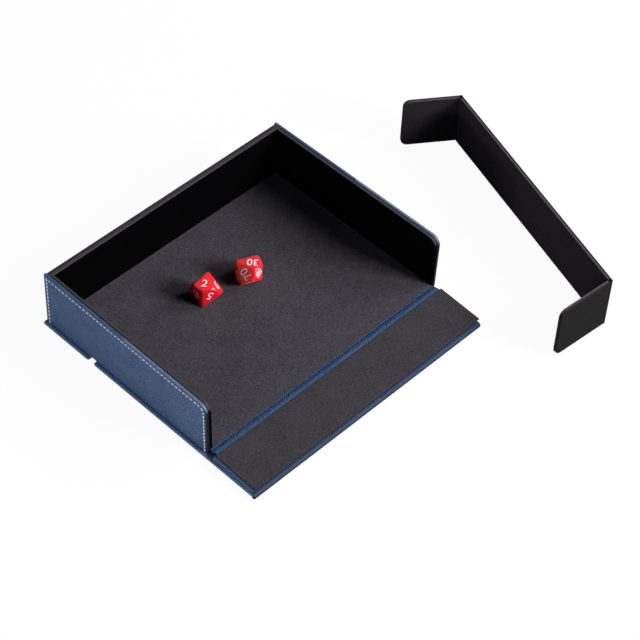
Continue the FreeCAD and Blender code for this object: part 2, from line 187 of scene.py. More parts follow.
class Finish(Nodes):
    """A material: a Principled shader and the nodes that feed it."""

    def __init__(self, name, **constants):
        self.material = bpy.data.materials.new(name)
        self.material.use_nodes = True
        super().__init__(self.material.node_tree)
        self.shader = self.tree.nodes["Principled BSDF"]
        self.set(**constants)
        self.place = self.node("TexCoord", output="Object")
        self.x, self.y, self.z = (self.node("SeparateXYZ", output=axis, Vector=self.place) / MM
                                  for axis in "XYZ")

    def set(self, **inputs):
        """Sets the shader's inputs; an underscore stands for a space."""
        for name, item in inputs.items():
            feed(self.shader.inputs[name.replace("_", " ")], item)

    def noise(self, size, detail=2.0, rough=0.5):
        """Cloudy noise, 0 to 1, with spots of about the size in millimetres."""
        return self.node("TexNoise", Vector=self.place, Scale=1 / (size * MM), Detail=detail,
                         Roughness=rough)

    def cells(self, size, wobble):
        """Distance to the middle of wavy-edged cells of about the size in millimetres."""
        scale = 1 / (size * MM)
        drift = self.node("TexNoise", output=1, Vector=self.place, Scale=scale, Detail=2.0)
        shift = self.node("VectorMath", settings={"operation": "MULTIPLY_ADD"},
                          slots={0: drift, 1: (wobble * size * MM,) * 3, 2: self.place})
        return self.node("TexVoronoi", output="Distance", settings={"feature": "SMOOTH_F1"},
                         Vector=shift, Scale=scale)

    def mix(self, amount, first, second):
        """The first colour where the amount is 0 and the second where it is 1."""
        return self.node("Mix", output=2, settings={"data_type": "RGBA"},
                         slots={0: amount, 6: first, 7: second})

    def bump(self, height, depth):
        """Relief: the height, 0 to 1, times the depth in millimetres."""
        return self.node("Bump", Height=height, Distance=depth * MM, Strength=1.0)

    def tint(self, amount, colour):
        """Lays another colour over the base colour where the amount is 1."""
        base = Value(self.shader.inputs["Base Color"].links[0].from_socket)
        self.set(Base_Color=self.mix(amount, base, colour))


def leatherette(name, dark, light, relief=0.25, grain=1.0, rough=0.6, gloss=0.12):
    """Embossed leatherette: pebbles about 1 mm across in a soft sheen."""
    finish = Finish(name, Specular_IOR_Level=gloss)
    pebbles = finish.cells(grain, 0.35)
    fine = finish.noise(0.4, 3)
    patches = finish.noise(14, 2)
    height = pebbles * -1.2 + fine * 0.4
    shade = 0.5 + (patches - 0.5) * 0.7 + (fine - 0.5) - (pebbles - 0.4) * 1.1
    finish.set(Base_Color=finish.mix(shade.held(), dark, light),
               Roughness=rough + (fine - 0.5) * 0.2,
               Normal=finish.bump(height, relief))
    return finish


def board_finish():
    """Bookbinder's board: pale grey fibres pressed in layers."""
    finish = Finish("greyboard")
    fibres = finish.noise(0.8, 5, 0.7)
    layers = finish.noise(0.15, 2)
    finish.set(Base_Color=finish.mix(fibres, rgb(120, 114, 106), rgb(158, 152, 143)),
               Roughness=0.9, Normal=finish.bump(fibres + layers * 0.3, 0.08))
    return finish


def cover_node(node, finish):
    """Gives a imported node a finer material."""
    for slot in frame["nodes"][node].material_slots:
        slot.material = finish.material


BLUE_DARK, BLUE_LIGHT = rgb(41, 63, 96), rgb(77, 99, 133)
blue = leatherette("blue_leatherette", BLUE_DARK, BLUE_LIGHT)
board = board_finish()
cover_node("bottom_wrap", blue)


# ---------------------------------------------------------------- tray floor
# A pad of grey-black microfibre glued on the bottom board. Its nap takes a fine speckle, and
# the cut edge at the open front is broken a little.
PAD_EDGE = 0.35
SHARP_ANGLE, FLAT_ANGLE = 35, 40


def like(node):
    """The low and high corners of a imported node, in millimetres."""
    return [[value / MM for value in corner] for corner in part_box(node)]


def select_only(piece):
    bpy.ops.object.select_all(action="DESELECT")
    piece.select_set(True)
    bpy.context.view_layer.objects.active = piece


def slab(name, low, high):
    """A box between two corners, given in any order."""
    middle = [(a + b) / 2 * MM for a, b in zip(low, high)]
    size = [abs(b - a) * MM for a, b in zip(low, high)]
    bpy.ops.object.select_all(action="DESELECT")
    bpy.ops.mesh.primitive_cube_add(size=1, location=middle, scale=size)
    bpy.ops.object.transform_apply(location=True, rotation=True, scale=True)
    piece = bpy.context.object
    piece.name = piece.data.name = name
    return piece


def modify(piece, kind, **settings):
    """Adds a modifier of that type to the piece, with its settings, and applies it."""
    select_only(piece)
    bpy.ops.object.modifier_add(type=kind)
    modifier = piece.modifiers[-1]
    for name, item in settings.items():
        setattr(modifier, name, item)
    bpy.ops.object.modifier_apply(modifier=modifier.name)


def soften(piece, radius, segments=3):
    """Breaks every sharp edge with a small radius; the faces between still look flat."""
    modify(piece, "BEVEL", width=radius * MM, segments=segments, limit_method="ANGLE",
           angle_limit=math.radians(SHARP_ANGLE))
    bpy.ops.object.shade_smooth_by_angle(angle=math.radians(FLAT_ANGLE))
    modify(piece, "WEIGHTED_NORMAL", keep_sharp=True)
    return piece


def dress(piece, finish, slot, body=None, replaces=()):
    """Gives a piece its material, the body it rides on and the nodes it stands for; the slot is not used.
    """
    piece.data.materials.clear()
    piece.data.materials.append(finish.material)
    if body:
        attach(piece, body)
    if replaces:
        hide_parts(*replaces)


def microfibre_finish(name, dark, light):
    """Short-napped microfibre: a fine speckle with no gloss."""
    finish = Finish(name, Specular_IOR_Level=0.03)
    nap = finish.noise(0.9, 5, 0.8)
    clouds = finish.noise(11, 3)
    shade = 0.5 + (nap - 0.5) * 3.0 + (clouds - 0.5) * 0.4
    finish.set(Base_Color=finish.mix(shade.held(), dark, light),
               Roughness=0.95, Normal=finish.bump(nap, 0.15))
    return finish


microfibre = microfibre_finish("microfibre", rgb(42, 40, 45), rgb(84, 81, 89))
floor = soften(slab("tray_floor_pad", *like("floor_lining")), PAD_EDGE)
dress(floor, microfibre, "microfibre", "tray", ["floor_lining"])
cover_node("floor_lining", microfibre)


# ---------------------------------------------------------------- side panels
# Each blue side is a board in leatherette, turned in all round, with a rounded top front corner.
# It is sewn just inside its edge, and the seam pulls the leatherette down into a shallow groove.
# The free front ends lean out a little.
(SIDE_IN, SIDE_FRONT, SIDE_BASE), (SIDE_OUT, SIDE_BACK, SIDE_TOP) = like("right_side_wrap")
FRONT_CORNER, BACK_CORNER, SIDE_EDGE = 6.5, 0.8, 0.45
SEAM_INSET, SEAM_HALF, SEAM_DEEP = 2.75, 0.55, 0.22
LEAN_OUT, LEAN_BASE, LEAN_TOP, LEAN_BACK = 1.1, 5, 45, 60
CUT_OFF = 8.3
NEAR, TOUCHING = 2.5, 0.1


def round_edges(piece, radius, wanted, segments=10):
    """Rounds the edges whose two ends pass the test, which gets them in millimetres."""
    select_only(piece)
    bpy.ops.object.mode_set(mode="EDIT")
    bpy.ops.mesh.select_mode(type="EDGE")
    bpy.ops.mesh.select_all(action="DESELECT")
    bpy.ops.object.mode_set(mode="OBJECT")
    ends = [vertex.co / MM for vertex in piece.data.vertices]
    for edge in piece.data.edges:
        edge.select = wanted(*(ends[i] for i in edge.vertices))
    bpy.ops.object.mode_set(mode="EDIT")
    bpy.ops.mesh.bevel(offset=radius * MM, segments=segments, affect="EDGES")
    bpy.ops.object.mode_set(mode="OBJECT")


def top_front(a, b):
    """Whether the edge between two points is a wall's top front corner."""
    return min(a.z, b.z) > SIDE_TOP - NEAR and max(a.y, b.y) < SIDE_FRONT + NEAR


def top_back(a, b):
    """Whether the edge between two points lies along a side panel's top back corner."""
    return min(a.z, b.z) > SIDE_TOP - TOUCHING and min(a.y, b.y) > SIDE_BACK - TOUCHING


def press_seam(panel, sign):
    """Sinks the seam's groove into the outer face, then cuts the panel off at its base."""
    select_only(panel)
    bpy.ops.object.mode_set(mode="EDIT")
    bpy.ops.mesh.select_mode(type="FACE")
    bpy.ops.mesh.select_all(action="DESELECT")
    bpy.ops.object.mode_set(mode="OBJECT")
    for face in panel.data.polygons:
        face.select = face.normal.x * sign > 0.99
    bpy.ops.object.mode_set(mode="EDIT")
    for width, rise in ((SEAM_INSET - SEAM_HALF, 0), (SEAM_HALF, -SEAM_DEEP), (SEAM_HALF, SEAM_DEEP)):
        bpy.ops.mesh.inset(thickness=width * MM, depth=rise * MM)
    bpy.ops.mesh.select_all(action="SELECT")
    bpy.ops.mesh.bisect(plane_co=(0, 0, SIDE_BASE * MM), plane_no=(0, 0, 1), use_fill=True,
                        clear_inner=True)
    bpy.ops.object.mode_set(mode="OBJECT")


def share(value, start, end):
    """How far a value has come from the start to the end, 0 to 1."""
    return min(max((value - start) / (end - start), 0), 1)


def lean_out(piece):
    """Leans a side wall's free front end out, most at its top."""
    outward = math.copysign(LEAN_OUT, sum(vertex.co.x for vertex in piece.data.vertices))
    for vertex in piece.data.vertices:
        up = share(vertex.co.z / MM, LEAN_BASE, LEAN_TOP)
        ahead = share(vertex.co.y / MM, LEAN_BACK, SIDE_FRONT)
        vertex.co.x += outward * up * ahead * MM
    return piece


def side_finish():
    """The blue leatherette, with a painted highlight along its top and painted shade over its front end."""
    finish = leatherette("side_leatherette", BLUE_DARK, BLUE_LIGHT)
    corner = BACK_CORNER + (finish.y < 0.0) * (FRONT_CORNER - BACK_CORNER)
    across = (abs(finish.y) - SIDE_BACK + corner).most(0.0)
    up = (finish.z - SIDE_TOP + corner).most(0.0)
    inset = corner - (across * across + up * up).root()
    # Painted highlight along the rounded top edge, patchy with noise.
    painted_lighting = ((0.8 - inset) * 1.6).held() * (0.45 + finish.noise(3, 3) * 0.6) * (up - 1.0).held()
    finish.tint(painted_lighting.held(), rgb(104, 120, 150))
    # Painted shade over the free front end.
    painted_front_shade = ((3.4 - inset) / 3.0).held() * (finish.y < -60.0) * (1.3 - up * 0.25).held()
    finish.tint(painted_front_shade, rgb(11, 17, 30))
    return finish


side_blue = side_finish()
for side, sign in (("left", -1), ("right", 1)):
    panel = slab(f"{side}_side_panel", (sign * SIDE_IN, SIDE_FRONT, SIDE_BASE - CUT_OFF),
                 (sign * SIDE_OUT, SIDE_BACK, SIDE_TOP))
    round_edges(panel, FRONT_CORNER, top_front)
    press_seam(panel, sign)
    round_edges(panel, BACK_CORNER, top_back, 4)
    lean_out(soften(panel, SIDE_EDGE))
    dress(panel, side_blue, "blue_leatherette", "tray", [f"{side}_side_wrap", f"{side}_side_core"])
    cover_node(f"{side}_side_wrap", blue)
    cover_node(f"{side}_side_core", board)


# ---------------------------------------------------------------- inner walls
# Dull black boards glued inside the side panels, a little lower than they are. The black is
# folded over their tops, which are painted paler as a highlight, and a dark glue line shows beside the
# blue.
(WALL_IN, WALL_FRONT, WALL_BASE), (WALL_OUT, WALL_BACK, WALL_TOP) = like("right_wall_board")
WALL_CORNER, WALL_EDGE = 6.2, 0.25
GLUE_WIDE, GLUE_DEEP, GLUE_EDGE, GLUE_SEAT = 0.5, 1.6, 0.12, 0.05


def black_finish():
    """Dull black covering, with a painted highlight along the boards' tops, where it is folded over."""
    finish = leatherette("black_wall", rgb(3, 3, 4), rgb(7, 7, 8), relief=0.06, grain=0.8,
                         rough=0.9, gloss=0.0)
    across = (WALL_FRONT + WALL_CORNER - finish.y).most(0.0)
    up = (finish.z - WALL_TOP + WALL_CORNER).most(0.0)
    inset = WALL_CORNER - (across * across + up * up).root()
    # Painted highlight along the boards' tops.
    fold = ((0.6 - inset) * 4.0).held() * ((up - 1.0) * 0.25).held()
    finish.tint(fold, rgb(68, 64, 70))
    return finish


black = black_finish()
cover_node("bottom_board", black)  # its back edge shows under the back wall
for side, sign in (("left", -1), ("right", 1)):
    for name, inner, outer, drop, edge, stands_for in (
        ("inner_wall", WALL_IN, WALL_OUT - GLUE_WIDE, 0, WALL_EDGE, [f"{side}_wall_board"]),
        ("wall_glue_line", WALL_OUT - GLUE_WIDE, WALL_OUT + GLUE_SEAT, GLUE_DEEP, GLUE_EDGE, []),
    ):
        piece = slab(f"{side}_{name}", (sign * inner, WALL_FRONT + drop, WALL_BASE),
                     (sign * outer, WALL_BACK, WALL_TOP - drop))
        round_edges(piece, WALL_CORNER - drop, top_front)
        lean_out(soften(piece, edge))
        dress(piece, black, "black_wall", "tray", stands_for)
    cover_node(f"{side}_wall_board", black)


# ---------------------------------------------------------------- back wall
# Two black boards glued face to face between the side panels, with steel keepers between them
# that the closed flap's magnets pull on.
BACK_EDGE = 0.3


def metal_finish(name, dark, light, rough):
    """Plated steel with faint wiping marks."""
    finish = Finish(name, Metallic=1.0)
    marks = finish.noise(1.5, 3)
    finish.set(Base_Color=finish.mix(marks, dark, light), Roughness=rough + marks * 0.1,
               Normal=finish.bump(marks, 0.01))
    return finish


outer_black = leatherette("outer_black", rgb(13, 13, 15), rgb(27, 26, 29), relief=0.12, rough=0.55,
                          gloss=0.2)
for layer, finish in (("inner", black), ("outer", outer_black)):
    node = f"back_wall_{layer}_board"
    piece = soften(slab(f"back_wall_{layer}_panel", *like(node)), BACK_EDGE)
    dress(piece, finish, "black_wall", "tray", [node])
    cover_node(node, finish)
cover_node("back_wall_keepers", metal_finish("keeper_steel", rgb(150, 150, 154), rgb(182, 182, 186), 0.32))


# ---------------------------------------------------------------- stitches
# Pale waxed thread along the back edge, the top and the front edge of each side panel, one
# stitch about every 3.2 mm, lying in the seam's groove.
PITCH, STITCH_LONG, STITCH_THICK = 3.25, 2.3, 0.88
FIRST_STITCH, STITCH_SUNK = 1.2, 0.05


def thread_finish():
    """Waxed thread: pale, with its twist just showing."""
    finish = Finish("thread", Specular_IOR_Level=0.3)
    twist = ((finish.y + finish.z) * 14).sine() * 0.5 + 0.5
    soil_and_shade = finish.noise(6, 2)
    finish.set(Base_Color=finish.mix(soil_and_shade * 0.5 + twist * 0.2, rgb(238, 240, 255), rgb(208, 212, 234)),
               Roughness=0.6, Normal=finish.bump(twist, 0.05))
    return finish


def seam_points():
    """Points and directions along the seam in the YZ plane, from back low to front low."""
    back, front, top = SIDE_BACK - SEAM_INSET, SIDE_FRONT + SEAM_INSET, SIDE_TOP - SEAM_INSET
    radius = FRONT_CORNER - SEAM_INSET
    low = SIDE_BASE + FIRST_STITCH
    runs = [(top - low, lambda s: (back, low + s, 0.0, 1.0)),
            (back - front - radius, lambda s: (back - s, top, -1.0, 0.0)),
            (math.pi / 2 * radius, lambda s: (front + radius - radius * math.sin(s / radius),
                                              top - radius + radius * math.cos(s / radius),
                                              -math.cos(s / radius), -math.sin(s / radius))),
            (top - radius - low, lambda s: (front, top - radius - s, 0.0, -1.0))]
    total = sum(length for length, _ in runs)
    count = round(total / PITCH)
    for number in range(count + 1):
        s = number * total / count
        for length, at in runs:
            if s <= length + 1e-6 or at is runs[-1][1]:
                break
            s -= length
        yield at(min(s, length))


def make_stitch():
    """One stitch along Z: a capsule of thread, its ends dipping into the leatherette."""
    bpy.ops.object.select_all(action="DESELECT")
    bpy.ops.mesh.primitive_uv_sphere_add(segments=8, ring_count=6, radius=STITCH_THICK / 2 * MM)
    stitch = bpy.context.object
    half = (STITCH_LONG - STITCH_THICK) / 2 * MM
    for vertex in stitch.data.vertices:
        if abs(vertex.co.z) > 1e-6:
            vertex.co.z += math.copysign(half, vertex.co.z)
    bpy.ops.object.shade_smooth()
    return stitch


def joined(pieces, name):
    """Several pieces made one, under a new name."""
    select_only(pieces[0])
    for piece in pieces:
        piece.select_set(True)
    bpy.ops.object.join()
    whole = bpy.context.object
    whole.name = whole.data.name = name
    return whole


thread = thread_finish()
stitch = make_stitch()
for side, sign in (("left", -1), ("right", 1)):
    copies = []
    for y, z, along_y, along_z in seam_points():
        copy = bpy.data.objects.new("stitch", stitch.data.copy())
        bpy.context.collection.objects.link(copy)
        at = Vector((sign * (SIDE_OUT - STITCH_SUNK), y, z)) * MM
        turn = Matrix.Rotation(math.atan2(-along_y, along_z), 4, "X")
        copy.data.transform(Matrix.Translation(at) @ turn)
        copies.append(copy)
    seam = lean_out(joined(copies, f"{side}_stitches"))
    dress(seam, thread, "blue_leatherette", "tray")
bpy.data.objects.remove(stitch)


# ---------------------------------------------------------------- cover and flap
# The folded-back cover under the tray, and the flap behind it: greyboard in blue leatherette
# that rounds its edges, lined with microfibre on the side that now faces down. Three magnets
# are sunk in the flap.
(COVER_LEFT, COVER_FRONT, _), (COVER_RIGHT, _, _) = like("cover_wrap")
COVER_CORNER, COVER_ROUND = 1.4, 0.75
LEDGE = -COVER_LEFT - SIDE_OUT


def facing_up(finish):
    """1 on surfaces that face up, 0 on those that face sideways or down."""
    up = finish.node("SeparateXYZ", output="Z", Vector=finish.node("TexCoord", output="Normal"))
    return ((up - 0.3) * 3).held()


def upright(a, b):
    """Whether the edge between two points stands up."""
    return abs(a.z - b.z) > 1


def cover_finish():
    """The blue leatherette, with painted light on the top faces of the cover's two ends, which stand out
    past the tray.
    """
    finish = leatherette("cover_leatherette", BLUE_DARK, BLUE_LIGHT)
    middle, half = (COVER_LEFT + COVER_RIGHT) / 2, (COVER_RIGHT - COVER_LEFT) / 2
    # Painted light on the upward faces of the ends, which lie in the tray's shadow.
    painted_lighting = ((abs(finish.x - middle) - half + LEDGE) * 2).held() * facing_up(finish)
    finish.tint(painted_lighting, rgb(108, 137, 180))
    return finish


cover_blue = cover_finish()
for body in ("cover", "flap"):
    case = slab(f"{body}_case", *like(f"{body}_wrap"))
    round_edges(case, COVER_CORNER, lambda a, b: upright(a, b) and a.y > COVER_FRONT + 1, 4)
    soften(case, COVER_ROUND, 4)
    dress(case, cover_blue, "blue_leatherette", body, [f"{body}_wrap", f"{body}_board"])
    cover_node(f"{body}_wrap", blue)
    cover_node(f"{body}_board", board)
    cover_node(f"{body}_lining", microfibre)
cover_node("flap_magnets", metal_finish("magnet", rgb(190, 190, 194), rgb(214, 214, 218), 0.2))


# ---------------------------------------------------------------- spine panel
# The panel in front of the tray, which is the cover's spine when the box is closed. It leans
# down to its front edge. The lining is glued on the leatherette that is turned in over it.
HINGES = {joint["name"]: Vector(joint["pos_m"]) / MM for joint in frame["joints"] if "pos_m" in joint}
TILT = math.radians(3.6915)
SPINE_NEAR, SPINE_FAR, SPINE_HALF, SPINE_EDGE = 4.5, 38.868, 1.2, 0.6
LINING_NEAR, LINING_FAR, LINING_LOW, LINING_EDGE = 5.5, 39.05, 0.6, 0.22
LINING_SEAT = 0.02


def on_spine(reach, rise):
    """A point in the YZ plane: reach out from the hinge line, rise towards the lining."""
    hinge = HINGES["spine_fold"]
    return (hinge.y - reach * math.cos(TILT) - rise * math.sin(TILT),
            hinge.z - reach * math.sin(TILT) + rise * math.cos(TILT))


spine_place = Matrix.Translation(HINGES["spine_fold"] * MM) @ Matrix.Rotation(TILT, 4, "X")
lining_left, lining_right = (corner[0] for corner in like("spine_lining"))
lining = slab("spine_pad", (lining_left, -LINING_FAR, LINING_LOW), (lining_right, -LINING_NEAR, SPINE_HALF))
soften(lining, LINING_EDGE).data.transform(spine_place)
spine_nap = microfibre_finish("spine_microfibre", rgb(39, 37, 41), rgb(74, 70, 77))
dress(lining, spine_nap, "microfibre", "spine", ["spine_lining"])
case = slab("spine_case", (COVER_LEFT, -SPINE_FAR, -SPINE_HALF),
            (COVER_RIGHT, -SPINE_NEAR, LINING_LOW + LINING_SEAT))
round_edges(case, COVER_CORNER, lambda a, b: upright(a, b) and a.y > -SPINE_FAR / 2, 4)
soften(case, SPINE_EDGE, 4).data.transform(spine_place)
# The same blue leatherette, written darker as painted shade.
spine_blue_shaded = leatherette("spine_leatherette", rgb(33, 52, 82), rgb(64, 84, 115))
dress(case, spine_blue_shaded, "blue_leatherette", "spine", ["spine_wrap", "spine_board"])
cover_node("spine_wrap", blue)
cover_node("spine_board", board)
cover_node("spine_lining", microfibre)


# ---------------------------------------------------------------- spine groove
# Leatherette alone, glued to the tray and to the spine's board, makes the hinge between them.
# Use has crinkled it, and it is painted darker along the tray as shade.
GROOVE_LEFT, GROOVE_RIGHT = -98.6, 97.3
GROOVE_CREASE, JOINT_THICK = 0.22, 0.5
UNDER_LINING, GROOVE_LOW = (5.75, 0.66), (-75.0, 4.95)
ONTO_FLOOR = [(-74.85, 5.3), (-74.62, 5.78), (-74.2, 5.86)]
GROOVE_CROWN, GROOVE_STEPS = 0.03, 14
STRIP_COLUMNS, BEND_ANGLE = 520, 60
tray_side, spine_side = (-74.65, 5.75), on_spine(4.45, 0.6)


def groove_section():
    """From under the spine's lining down to the crease, then up the tray's edge and onto its floor."""
    points = [on_spine(*UNDER_LINING)]
    run, climb = spine_side[0] - GROOVE_LOW[0], spine_side[1] + GROOVE_CROWN - GROOVE_LOW[1]
    for step in range(GROOVE_STEPS, -1, -1):
        near_spine = step / GROOVE_STEPS
        points.append((GROOVE_LOW[0] + run * near_spine,
                       GROOVE_LOW[1] + climb * math.sin(math.pi / 2 * near_spine)))
    return points + ONTO_FLOOR


def creased_strip(name, section, left, right, crease):
    """A sheet with this section in the YZ plane, run along X and crinkled across its length."""
    rows = len(section) - 1
    bpy.ops.object.select_all(action="DESELECT")
    bpy.ops.mesh.primitive_grid_add(x_subdivisions=STRIP_COLUMNS, y_subdivisions=rows, size=1)
    strip = bpy.context.object
    strip.name = strip.data.name = name
    for vertex in strip.data.vertices:
        along, across = vertex.co.x + 0.5, (vertex.co.y + 0.5) * rows
        number = min(round(across), rows)
        before, after = section[max(number - 1, 0)], section[min(number + 1, rows)]
        y, z = section[number]
        run, climb = after[0] - before[0], after[1] - before[1]
        size = math.hypot(run, climb)
        x = left + (right - left) * along
        broad = noise.noise(Vector((x * 0.85, number * 0.12, 3.1)))
        fine = noise.noise(Vector((x * 1.9, number * 0.2, 8.7)))
        lift = crease * (broad + 0.5 * fine) * abs(math.sin(math.pi * number / rows)) ** 0.5
        vertex.co = Vector((x, y - climb / size * lift, z + run / size * lift)) * MM
    modify(strip, "SOLIDIFY", thickness=JOINT_THICK * MM, offset=-1)
    bpy.ops.object.shade_smooth_by_angle(angle=math.radians(BEND_ANGLE))
    return strip


def in_section(point):
    return 0, point[0] * MM, point[1] * MM


def groove_finish():
    """The joint's leatherette, painted darker near the tray as shade, with short ticks across it."""
    finish = leatherette("groove_leatherette", rgb(44, 66, 100), rgb(76, 99, 133), relief=0.2, grain=0.8)
    soil_and_shade = (finish.y - spine_side[0]) / (tray_side[0] - spine_side[0])
    ticks = finish.noise(0.9, 2) - 0.5
    # Painted shade along the tray's side of the groove, broken up by the ticks.
    painted_lighting = (soil_and_shade * 2.6 - 1.75 + ticks * 2.4).held()
    finish.tint(painted_lighting, rgb(20, 34, 62))
    return finish


groove = creased_strip("spine_joint", groove_section(), GROOVE_LEFT, GROOVE_RIGHT, GROOVE_CREASE)
dress(groove, groove_finish(), "joint_leatherette", replaces=["spine_hinge_strip"])
in_section(tray_side)
in_section(spine_side)
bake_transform(groove)


# ---------------------------------------------------------------- front edge
# The same leatherette bends round from the spine's front edge to the cover under it, in two
# halves with a soft fold line between them. Its bend is pulled into fine wrinkles.
NOSE_REACH, NOSE_RISE = 38.75, 0.5
NOSE_OUT, NOSE_CREASE, NOSE_STEPS = 1.9, 0.1, 24
JOINT_SEAT = 0.05
TUCKED_UNDER = (-114.7, 0.1)


def arc_points(a, b, c, count):
    """Points along the circle through three points of a plane, from the first to the last."""
    (ax, ay), (bx, by), (cx, cy) = a, b, c
    d = 2 * (ax * (by - cy) + bx * (cy - ay) + cx * (ay - by))
    sa, sb, sc = ax * ax + ay * ay, bx * bx + by * by, cx * cx + cy * cy
    mx = (sa * (by - cy) + sb * (cy - ay) + sc * (ay - by)) / d
    my = (sa * (cx - bx) + sb * (ax - cx) + sc * (bx - ax)) / d
    radius = math.hypot(ax - mx, ay - my)
    start, middle, end = (math.atan2(y - my, x - mx) for x, y in (a, b, c))
    sweep = (end - start) % (2 * math.pi)
    if (middle - start) % (2 * math.pi) > sweep:
        sweep -= 2 * math.pi
    turns = [start + sweep * step / count for step in range(count + 1)]
    return [(mx + radius * math.cos(turn), my + radius * math.sin(turn)) for turn in turns]


def front_edge_finish():
    """The joint's leatherette, painted darker as shade, and darker still where it bends under."""
    # Darker colours than the blue elsewhere: painted shade on the front edge.
    finish = leatherette("joint_leatherette", rgb(25, 39, 61), rgb(48, 63, 88), relief=0.2, grain=0.8)
    # Painted shade where the strip bends under.
    under = ((3.9 - finish.z) / 1.2).held()
    finish.tint(under * 0.9, rgb(18, 29, 48))
    return finish


upper_end, lower_end = on_spine(NOSE_REACH, NOSE_RISE), (COVER_FRONT - JOINT_SEAT, JOINT_SEAT)
foremost = (COVER_FRONT - NOSE_OUT, (upper_end[1] + JOINT_SEAT) / 2)
nose = [TUCKED_UNDER] + arc_points(lower_end, foremost, upper_end, NOSE_STEPS)
half = len(nose) // 2
joint_blue_shaded = front_edge_finish()
for name, section, bodies, stands_for in (
    ("front_edge_upper", nose[half:], ("nose", "spine"), ["nose_hinge_strip"]),
    ("front_edge_lower", nose[:half + 1], ("cover", "nose"), []),
):
    strip = creased_strip(name, section, COVER_LEFT, COVER_RIGHT, NOSE_CREASE)
    dress(strip, joint_blue_shaded, "joint_leatherette", replaces=stands_for)
    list(bodies)
    in_section(section[0])
    in_section(section[-1])
    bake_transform(strip)


# ---------------------------------------------------------------- flap joint
# A run of leatherette between the cover's board and the flap's, under the tray's back end. It is
# pressed down between the boards, so it has the length to go round the corner when the flap folds.
(FLAP_LEFT, COVER_SIDE, FLAP_LOW), (FLAP_RIGHT, FLAP_SIDE, FLAP_HIGH) = like("flap_hinge_strip")
PRESSED_DEEP, PRESSED_STEPS, FLAP_CREASE = 1.35, 10, 0.04
pressed = []
for step in range(PRESSED_STEPS + 1):
    along = step / PRESSED_STEPS
    dip = PRESSED_DEEP * abs(math.sin(math.pi * along)) ** 0.6
    pressed.append((COVER_SIDE + (FLAP_SIDE - COVER_SIDE) * along, FLAP_HIGH - dip))
flap_joint = creased_strip("flap_joint", pressed, FLAP_LEFT, FLAP_RIGHT, FLAP_CREASE)
dress(flap_joint, blue, "joint_leatherette", replaces=["flap_hinge_strip"])
flap_middle = (FLAP_LOW + FLAP_HIGH) / 2
in_section((COVER_SIDE, flap_middle))
in_section((FLAP_SIDE, flap_middle))
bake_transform(flap_joint)


# ---------------------------------------------------------------- divider panels
# Three stiff panels stand on the ground: a smooth black outside and a napped inside glued back
# to back. The free corners are rounded.
DIVIDER_HIGH = like("divider_middle_board")[1][2]
LAYER, DIVIDER_CORNER, DIVIDER_EDGE = 1.3, 5.0, 0.28
MIDDLE_LONG, LEFT_LONG, RIGHT_LONG = 190.0, 40.6, 45.0
MIDDLE, LEFT, RIGHT = (math.radians(heading) for heading in (-107.63, 144.47, 175.47))
LEFT_FOLD, RIGHT_FOLD = HINGES["divider_left_turn"], HINGES["divider_right_turn"]
FOLD_GAP = 1.4


def painted_top_highlight(finish, shade):
    """A painted highlight on the surfaces that face up, where the covering is folded over the panel's top.
    """
    finish.tint(facing_up(finish), shade)
    return finish


# Painted highlight on the tops of both layers.
outside = painted_top_highlight(leatherette("divider_outside", rgb(10, 9, 10), rgb(17, 15, 16), relief=0.05, grain=0.7,
                                 rough=0.6, gloss=0.04), rgb(45, 41, 45))
divider_nap = painted_top_highlight(microfibre_finish("divider_inside", rgb(26, 23, 26), rgb(45, 41, 44)),
                         rgb(84, 78, 84))
for name, body, long, fold, heading, inward in (
    ("middle", "divider", MIDDLE_LONG, LEFT_FOLD, MIDDLE, -1),
    ("left", "divider_left", LEFT_LONG, LEFT_FOLD, LEFT, 1),
    ("right", "divider_right", RIGHT_LONG, RIGHT_FOLD, RIGHT, -1),
):
    place = Matrix.Translation(fold * MM) @ Matrix.Rotation(heading, 4, "Z")
    for layer, gap, depth, finish, slot in (
        ("board", FOLD_GAP, 0, outside, "divider_outside"),
        ("lining", FOLD_GAP + LAYER, LAYER, divider_nap, "divider_inside"),
    ):
        far = long - gap if name == "middle" else long
        panel = slab(f"divider_{name}_{layer}_panel", (gap, inward * depth, 0),
                     (far, inward * (depth + LAYER), DIVIDER_HIGH))
        if name != "middle":
            round_edges(panel, DIVIDER_CORNER,
                        lambda a, b: min(a.x, b.x) > far - TOUCHING and not upright(a, b))
        soften(panel, DIVIDER_EDGE)
        panel.data.transform(place)
        dress(panel, finish, slot, body, [f"divider_{name}_{layer}"])
        cover_node(f"divider_{name}_{layer}", finish)


# ---------------------------------------------------------------- divider folds
# Both coverings run on round the two corners as soft folds, the smooth black one outside and
# the napped one inside, where it stands off from the corner.
FOLD_LAP = 0.05
SKIN_DEEP, SKIN_THICK = 0.3, 0.6
NAP_INSET, NAP_DEEP, NAP_THICK = 2.3, 2.85, 0.2
FOLD_STEPS, FOLD_ROWS, BLEND_AT = 10, 60, 20


def bend_fold(side, layer, start, bend, end, thick, finish, slot, stands_for=()):
    """A covering carried on round a corner: an upright sheet, bent along an arc of the XY plane."""
    path = arc_points(start, bend, end, FOLD_STEPS)
    bpy.ops.object.select_all(action="DESELECT")
    bpy.ops.mesh.primitive_grid_add(x_subdivisions=FOLD_STEPS, y_subdivisions=FOLD_ROWS, size=1)
    piece = bpy.context.object
    piece.name = piece.data.name = f"divider_{side}_fold_{layer}"
    for vertex in piece.data.vertices:
        x, y = path[round((vertex.co.x + 0.5) * FOLD_STEPS)]
        vertex.co = Vector((x, y, (vertex.co.y + 0.5) * DIVIDER_HIGH)) * MM
    modify(piece, "SOLIDIFY", thickness=thick * MM, offset=-1 if side == "left" else 1)
    bpy.ops.object.shade_smooth_by_angle(angle=math.radians(BEND_ANGLE))
    dress(piece, finish, slot, replaces=stands_for)
    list(start * MM)
    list(end * MM)
    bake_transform(piece)


